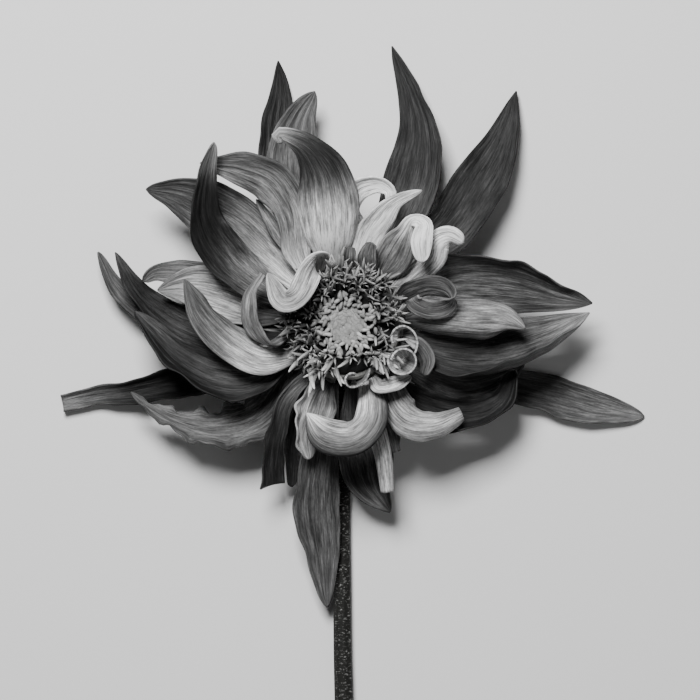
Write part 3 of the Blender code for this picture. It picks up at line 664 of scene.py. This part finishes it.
def stem_material(colour, speckle):
    """Dark stem skin with fine pale speckles in rows along its length."""
    material, tree, shader = new_material("dahlia_stem", 0.6, 0.15)
    veins = add_node(tree, "ShaderNodeUVMap", uv_map="veins").outputs["UV"]
    rows = scaled_noise(tree, veins, (7.0, 3.2, 1.0), 2.0)
    dots = scaled_noise(tree, veins, (26.0, 11.0, 1.0), 3.0, 0.7)
    mask = calculated(tree, 'MULTIPLY', ranged(tree, dots, 0.54, 0.66, 0.0, 1.0),
                      ranged(tree, rows, 0.42, 0.58, 0.15, 1.0))
    blend_base(tree, shader, mask, colour, speckle)
    add_bump(tree, shader, mask, 0.5, 0.0003)
    return material


# ---- disc florets ----

LOBES = 5               # of an open floret
LOBE_THICKNESS = 0.1    # mm


def star_shape(radius, height, lobe):
    """An open floret: a slender tube with pointed lobes turned outwards."""
    shape = bmesh.new()
    bmesh.ops.create_circle(shape, cap_ends=False, segments=2 * LOBES, radius=radius * 0.5)
    edges = shape.edges[:]
    # rings of the tube: shares of its height and of its radius
    for share, swell in ((0.55, 0.75), (1.0, 1.2)):
        grown = bmesh.ops.extrude_edge_only(shape, edges=edges)["geom"]
        verts = [part for part in grown if isinstance(part, bmesh.types.BMVert)]
        edges = [part for part in grown if isinstance(part, bmesh.types.BMEdge)]
        for vert in verts:
            flat = Vector((vert.co.x, vert.co.y, 0)).normalized() * radius * swell
            vert.co = Vector((flat.x, flat.y, height * share))
    rim = sorted(verts, key=lambda vert: math.atan2(vert.co.y, vert.co.x))
    for one, two in zip(rim[::2], rim[1::2]):
        middle = (one.co + two.co) / 2
        outward = Vector((middle.x, middle.y, 0)).normalized()
        across = (one.co - middle).normalized()
        waists = [shape.verts.new(middle + outward * lobe * 0.22 + across * lobe * 0.1 * hand
                                  + Vector((0, 0, lobe * 0.42))) for hand in (1, -1)]
        tip = shape.verts.new(middle + outward * lobe * 0.66 + Vector((0, 0, lobe * 0.72)))
        shape.faces.new((one, two, waists[1], waists[0]))
        shape.faces.new((waists[0], waists[1], tip))
    bmesh.ops.recalc_face_normals(shape, faces=shape.faces)
    bmesh.ops.solidify(shape, geom=shape.faces[:], thickness=LOBE_THICKNESS)
    return shape


def needle_shape(radius, height, bend):
    """A narrow floret or style: a spindle with a pointed tip, bent to one side."""
    shape = bmesh.new()
    bmesh.ops.create_uvsphere(shape, u_segments=6, v_segments=8, radius=1)
    for vert in shape.verts:
        share = (vert.co.z + 1) / 2
        vert.co = Vector((vert.co.x * radius + bend * share ** 2, vert.co.y * radius * 0.6,
                          share * height))
    return shape


def scale_shape(wide, long, thick):
    """A scale or a grain of the disc's middle: an almond lying on the dome."""
    shape = bmesh.new()
    bmesh.ops.create_uvsphere(shape, u_segments=8, v_segments=6, radius=1)
    for vert in shape.verts:
        slim = 1 - 0.35 * vert.co.x
        vert.co = Vector((vert.co.x * long, vert.co.y * wide * slim, (vert.co.z + 1) * thick))
    return shape


def plant(target, tone_layer, template, place, lean, spin, own, scale, tones):
    """Copy a small shape into the target, toned from foot to tip; the callers make the foot dark,
    painted shade.

    It turns by own about its axis, then leans and turns by spin about the head's.
    """
    before = len(target.verts)
    mesh = bpy.data.meshes.new("sprig")
    template.to_mesh(mesh)
    target.from_mesh(mesh)
    bpy.data.meshes.remove(mesh)
    target.verts.ensure_lookup_table()
    added = target.verts[before:]
    top = max(vert.co.z for vert in added)
    turn = Euler((0, lean, spin)).to_matrix() @ Euler((0, 0, own)).to_matrix()
    for vert in added:
        share = vert.co.z / top
        vert[tone_layer] = tones[0] + (tones[1] - tones[0]) * share
        vert.co = Vector(place) + turn @ (vert.co * scale)


def dome_height(share, rise):
    """Height of the disc's surface at a share of its radius."""
    return rise * (1 - share ** 2) ** 0.5


FLOOR_RADIUS = 9.8          # of the dark dome under the florets, mm
FLOOR_RISE = 2.2            # its height, mm
FLOOR_BOTTOM = RECEPTACLE_TOP + 0.1


def make_disc_base():
    """The near-black dome that the florets stand on: painted shade in the gaps between them."""
    shape = bmesh.new()
    bmesh.ops.create_uvsphere(shape, u_segments=48, v_segments=24, radius=1)
    bmesh.ops.bisect_plane(shape, geom=shape.verts[:] + shape.edges[:] + shape.faces[:],
                           plane_co=(0, 0, 0), plane_no=(0, 0, -1), clear_outer=True)
    rim = [edge for edge in shape.edges if edge.is_boundary]
    bmesh.ops.edgeloop_fill(shape, edges=rim)
    for vert in shape.verts:
        vert.co = Vector((vert.co.x * FLOOR_RADIUS, vert.co.y * FLOOR_RADIUS,
                          FLOOR_BOTTOM + vert.co.z * FLOOR_RISE))
    # near-black colours: painted shade in the gaps between the florets
    material = green_material("dahlia_disc_shade_dome", (0.008, 0.008, 0.008), (0.03, 0.03, 0.03))
    return finish_mesh("disc_shade_dome", shape, material, "disc_floret", "disc_florets")


FLORET_CLEARANCE = 1.5      # between a rolled petal and the foot of a floret, mm


def crowded(foot):
    """Whether a rolled petal leaves no room for a floret at this place."""
    for petal in PETALS:
        if petal.name in SCROLLS:
            face = face_vector(petal, 1.0, np.array((0.0, 0.0, 1.0)))
            middle = np.array(petal.spine[-1]) + face * SCROLL_RADIUS
            if math.dist(middle[:2], foot[:2]) < SCROLL_RADIUS + FLORET_CLEARANCE:
                return True
    return False


SCALES_END = 0.36           # share of the radius where the middle's flat scales end
GRAINS_END = 0.6            # and where the rice-grain buds round them end
FLORET_RISE = 2.6           # height of the dome on which the florets stand, mm
SHADED_SIDE = 175           # degrees round the head, under the side ribbon


def disc_share(order):
    """Share of the radius at which a floret stands: closely packed in the middle."""
    inner = 0.5             # the share of the florets that stand inside GRAINS_END
    if order < inner:
        return GRAINS_END * math.sqrt(order / inner)
    start = GRAINS_END ** 2
    return math.sqrt(start + (1 - start) * (order - inner) / (1 - inner))


def make_florets(count, radius, colour):
    """Flat scales in the middle, rice-grain buds round them, then slender and starry florets."""
    dice = random.Random(11)
    zones = {"disc_centre_buds": bmesh.new(), "disc_ring_buds": bmesh.new(),
             "disc_open_florets": bmesh.new(), "disc_styles": bmesh.new()}
    tones = {name: shape.verts.layers.float.new("tone") for name, shape in zones.items()}
    scale = scale_shape(wide=0.6, long=0.95, thick=0.14)
    grain = scale_shape(wide=0.33, long=0.75, thick=0.3)
    star = star_shape(radius=0.4, height=2.3, lobe=2.2)
    needle = needle_shape(radius=0.4, height=4.6, bend=1.3)
    golden = math.pi * (3 - math.sqrt(5))
    for number in range(count):
        share = disc_share((number + 0.5) / count)
        spin = number * golden + dice.uniform(-0.12, 0.12)
        reach = radius * share * 0.97
        foot = (reach * math.cos(spin), reach * math.sin(spin),
                FLOOR_BOTTOM + dome_height(share * 0.95, FLORET_RISE))
        lean = share * 0.75 + dice.uniform(-0.1, 0.1)
        swing = spin + dice.uniform(-0.15, 0.15)
        size = dice.uniform(0.85, 1.15)
        if crowded(foot):
            continue
        # painted light and shade: florets towards +y darker, towards -y paler, as the light falls;
        # the rest is random tone
        tone_and_painted_light = dice.uniform(0.4, 1.0) * (0.82 - 0.22 * math.sin(spin))
        # painted shade on the florets under the side ribbon
        if math.cos(spin - math.radians(SHADED_SIDE)) > 0.75 and share > 0.5:
            tone_and_painted_light *= 0.4
        # each floret runs from a dark foot, painted shade, to its tip's tone with the painted light
        if share < SCALES_END:
            plant(zones["disc_centre_buds"], tones["disc_centre_buds"], scale, foot,
                  share * 0.7, swing, dice.uniform(1.0, 2.2), size * 1.1, (0.01, 0.5 + 0.4 * tone_and_painted_light))
        elif share < GRAINS_END:
            plant(zones["disc_ring_buds"], tones["disc_ring_buds"], grain,
                  (foot[0], foot[1], foot[2] + 0.5), lean * 0.8 + dice.uniform(-0.5, 0.5),
                  swing, dice.uniform(-1.2, 1.2), size * 1.15, (0.0, 0.95 * tone_and_painted_light))
        else:
            wild = dice.uniform(-0.6, 0.6)
            if dice.random() < 0.6:
                plant(zones["disc_open_florets"], tones["disc_open_florets"], star, foot,
                      lean + wild, swing + wild, wild, size * (0.6 + share * 0.4),
                      (-0.5, 0.9 * tone_and_painted_light))
            grown = 1.2 if math.sin(spin) < -0.2 else 1.0
            plant(zones["disc_styles"], tones["disc_styles"], needle, foot,
                  lean + dice.uniform(-0.6, 0.5), swing + dice.uniform(-0.9, 0.9),
                  dice.uniform(-3, 3), size * grown * (0.8 + share * 0.35), (-0.25, 1.1 * tone_and_painted_light))
    skins = {
        "disc_centre_buds": floret_material("dahlia_bud", 0.5, 1.0, (0.48, 0.48, 0.47)),
        "disc_ring_buds": floret_material("dahlia_ring_bud", 0.7, 1.0, (0.66, 0.66, 0.65)),
        "disc_open_florets": floret_material("dahlia_open_floret", 0.7, 1.05, colour),
        "disc_styles": floret_material("dahlia_style", 0.6, 1.0, colour),
    }
    for template in (scale, grain, star, needle):
        template.free()
    for name, shape in zones.items():
        finish_mesh(name, shape, skins[name], "disc_floret", "disc_florets")


# ---- stem, receptacle and bracts ----

STEM_STEPS = 260
STEM_SIDES = 40
BRACT_COUNT = 8
BRACT_THICKNESS = 0.0006    # m
BRACT_RIB_DEPTH = 0.12      # mm
BRACT_STEPS = 24
BRACT_SIDES = 12


def make_stem(colour, speckle):
    """The stem as a ridged tube along its route, cut square at its end."""
    midrib = Midrib(np.array(STEM_ROUTE))
    steps, sides = STEM_STEPS, STEM_SIDES
    shape = bmesh.new()
    bmesh.ops.create_grid(shape, x_segments=steps, y_segments=sides, size=1)
    veins = shape.loops.layers.uv.new("veins")
    grid = {vert: (round((vert.co.x + 1) / 2 * steps), round((vert.co.y + 1) / 2 * sides))
            for vert in shape.verts}
    for face in shape.faces:
        for loop in face.loops:
            step, side = grid[loop.vert]
            loop[veins].uv = (step / steps * midrib.length / 10, side / sides * 1.1)
    for vert, (step, side) in grid.items():
        place = step / steps
        heading = midrib.heading(place)
        across = unit(np.cross(heading, (1.0, 0.0, 0.02)))
        other = np.cross(heading, across)
        turn = 2 * math.pi * side / sides
        radius = STEM_TOP_RADIUS + (STEM_END_RADIUS - STEM_TOP_RADIUS) * place
        radius += 0.04 * math.cos(8 * turn + 3 * place) + 0.02 * math.sin(31 * place + turn) - 0.06
        vert.co = Vector(midrib.point(place) + (across * math.cos(turn)
                                                + other * math.sin(turn)) * radius)
    bmesh.ops.remove_doubles(shape, verts=shape.verts, dist=0.0001)
    rims = [edge for edge in shape.edges if edge.is_boundary]
    caps = bmesh.ops.holes_fill(shape, edges=rims, sides=sides + 2)["faces"]
    bmesh.ops.inset_region(shape, faces=caps, thickness=0.5, depth=0)
    bmesh.ops.recalc_face_normals(shape, faces=shape.faces)
    return finish_mesh("cut_stem", shape, stem_material(colour, speckle), "stem", "stem")


def bract_petal(number):
    """One bract behind the head, bent back towards the stem, and the place of its claw."""
    angle = (number + 0.5) * 360 / BRACT_COUNT
    turn = math.radians(angle)

    def at(radius, height):
        return (radius * math.cos(turn), radius * math.sin(turn), height)

    bract = Petal("bract_%d" % (number + 1), 0, angle, (at(11, 8.2), at(14, 7), at(16.5, 5)),
                  (3.2, 4.6, 4.4, 1), (18,), (18,), ribs=3, wave=0.3)
    return bract, np.array(at(7.4, 9.2))


# ---- floor, light and camera ----

FRAME_WIDTH = 140.0      # mm seen across the picture at the frame's level
FRAME_LEVEL = 5.0        # height above the surface, mm
EYE_HEIGHT = 720.0       # mm
SENSOR_WIDTH = 36.0      # mm
FLOOR_HALF = 1.5         # half the floor's side, m
WORLD_LIGHT = 0.035


def aim_at(thing, target):
    """Point a light's or camera's -Z at a target, in metres."""
    thing.rotation_euler = (Vector(target) - thing.location).to_track_quat('-Z', 'Y').to_euler()


def head_point(x, y, z):
    """A point in head millimetres, in metres in the shared frame."""
    return Vector(HEAD_CENTRE) + Vector((x, y, z)) * MM


def add_area(name, place, target, size, power):
    """A square soft light."""
    light = bpy.data.lights.new(name, 'AREA')
    light.size = size
    light.energy = power
    lamp = bpy.data.objects.new(name, light)
    lamp.location = head_point(*place)
    bpy.context.scene.collection.objects.link(lamp)
    aim_at(lamp, head_point(*target))
    return lamp


def make_floor():
    """A plain pale floor under the flower."""
    shape = bmesh.new()
    bmesh.ops.create_grid(shape, x_segments=2, y_segments=2, size=FLOOR_HALF)
    mesh = bpy.data.meshes.new("floor")
    shape.to_mesh(mesh)
    shape.free()
    floor = bpy.data.objects.new("floor", mesh)
    material, _, shader = new_material("studio_floor", 0.85, 0.2)
    shader.inputs["Base Color"].default_value = (0.82, 0.82, 0.82, 1)
    mesh.materials.append(material)
    bpy.context.scene.collection.objects.link(floor)
    floor.location.z = -0.0001


def make_camera():
    """A long lens straight above the head, with the stem towards the viewer."""
    data = bpy.data.cameras.new("camera")
    data.sensor_width = SENSOR_WIDTH
    data.lens = (EYE_HEIGHT - FRAME_LEVEL) * SENSOR_WIDTH / FRAME_WIDTH
    data.clip_end = 10
    camera = bpy.data.objects.new("camera", data)
    camera.location = head_point(1.0, -5.0, EYE_HEIGHT)
    bpy.context.scene.collection.objects.link(camera)
    bpy.context.scene.camera = camera


# ---- operators ----

CLAW_RUN = 10            # mm, about how far a midrib's first point is from the claw


def facet_count(length, each_mm, least, most):
    """How many facets a length in mm is cut into."""
    return int(min(max(length * each_mm, least), most))


class DahliaPetalsOperator(bpy.types.Operator):
    """Make every ray floret of the head"""
    bl_idname = "dahlia.petals"
    bl_label = "Petals"

    def execute(self, context):
        settings = context.scene.dahlia_petals
        material = petal_material(settings.roughness)
        for spec in PETALS:
            petal = replace(spec, **LOOKS.get(spec.name, {}))
            length = sum(math.dist(a, b) for a, b in zip(petal.spine, petal.spine[1:])) + CLAW_RUN
            steps = facet_count(length, 1.6, 28, 84)
            sides = 2 * facet_count(max(petal.width), 1.4, 7, 14)
            build_sheet(petal, claw_point(petal), material, "petal", settings.thickness,
                        settings.rib_depth / MM, steps, sides)
        return {'FINISHED'}


class DahliaDiscOperator(bpy.types.Operator):
    """Make the disc's buds and open florets"""
    bl_idname = "dahlia.disc"
    bl_label = "Disc florets"

    def execute(self, context):
        settings = context.scene.dahlia_disc
        make_disc_base()
        make_florets(settings.florets, settings.radius / MM, tuple(settings.colour))
        return {'FINISHED'}


class DahliaStemOperator(bpy.types.Operator):
    """Make the cut stem, and finish the receptacle"""
    bl_idname = "dahlia.stem"
    bl_label = "Stem and receptacle"

    def execute(self, context):
        settings = context.scene.dahlia_stem
        make_stem(tuple(settings.stem_colour), tuple(settings.speckle_colour))
        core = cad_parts["receptacle"]
        skin = green_material("dahlia_receptacle", tuple(settings.bract_colour), (0.3, 0.3, 0.29))
        core.data.materials.clear()
        core.data.materials.append(skin)
        return {'FINISHED'}


class DahliaBractsOperator(bpy.types.Operator):
    """Make the bracts behind the head"""
    bl_idname = "dahlia.bracts"
    bl_label = "Bracts"

    def execute(self, context):
        settings = context.scene.dahlia_stem
        skin = green_material("dahlia_bract", tuple(settings.bract_colour), (0.34, 0.34, 0.33))
        for number in range(BRACT_COUNT):
            bract, claw = bract_petal(number)
            build_sheet(bract, claw, skin, "bract", BRACT_THICKNESS, BRACT_RIB_DEPTH,
                        BRACT_STEPS, BRACT_SIDES)
        return {'FINISHED'}


class DahliaStageOperator(bpy.types.Operator):
    """Make the floor, the lights and the camera"""
    bl_idname = "dahlia.stage"
    bl_label = "Stage"

    def execute(self, context):
        make_floor()
        make_camera()
        add_area("key_light", (-90, 260, 480), (0, 5, 15), size=0.18, power=5.4)
        add_area("fill_light", (260, -260, 420), (0, 0, 10), size=0.5, power=0.3)
        world = bpy.data.worlds.new("studio")
        world.use_nodes = True
        world.node_tree.nodes["Background"].inputs["Color"].default_value = (1, 1, 1, 1)
        world.node_tree.nodes["Background"].inputs["Strength"].default_value = WORLD_LIGHT
        context.scene.world = world
        return {'FINISHED'}


class DahliaPanel(bpy.types.Panel):
    """The dahlia's settings and its operators"""
    bl_idname = "VIEW3D_PT_dahlia"
    bl_label = "Dahlia"
    bl_space_type = 'VIEW_3D'
    bl_region_type = 'UI'
    bl_category = "Dahlia"

    def draw(self, context):
        scene = context.scene
        for settings in (scene.dahlia_petals, scene.dahlia_disc, scene.dahlia_stem):
            box = self.layout.box()
            for key in settings.__annotations__:
                box.prop(settings, key)
        for operator in OPERATORS:
            self.layout.operator(operator.bl_idname)


OPERATORS = (DahliaStageOperator, DahliaStemOperator, DahliaBractsOperator, DahliaPetalsOperator,
             DahliaDiscOperator)
SETTINGS = {"dahlia_petals": DahliaPetalSettings, "dahlia_disc": DahliaDiscSettings,
            "dahlia_stem": DahliaStemSettings}


def register():
    """Make the settings, the operators and the panel known."""
    for key, group in SETTINGS.items():
        bpy.utils.register_class(group)
        setattr(bpy.types.Scene, key, bpy.props.PointerProperty(type=group))
    for operator in OPERATORS:
        bpy.utils.register_class(operator)
    bpy.utils.register_class(DahliaPanel)


def unregister():
    """Take them away again."""
    bpy.utils.unregister_class(DahliaPanel)
    for operator in reversed(OPERATORS):
        bpy.utils.unregister_class(operator)
    for key, group in SETTINGS.items():
        delattr(bpy.types.Scene, key)
        bpy.utils.unregister_class(group)


def main():
    """Make the whole flower."""
    register()
    for operator in OPERATORS:
        group, name = operator.bl_idname.split(".")
        getattr(getattr(bpy.ops, group), name)()


if __name__ == "__main__":
    main()
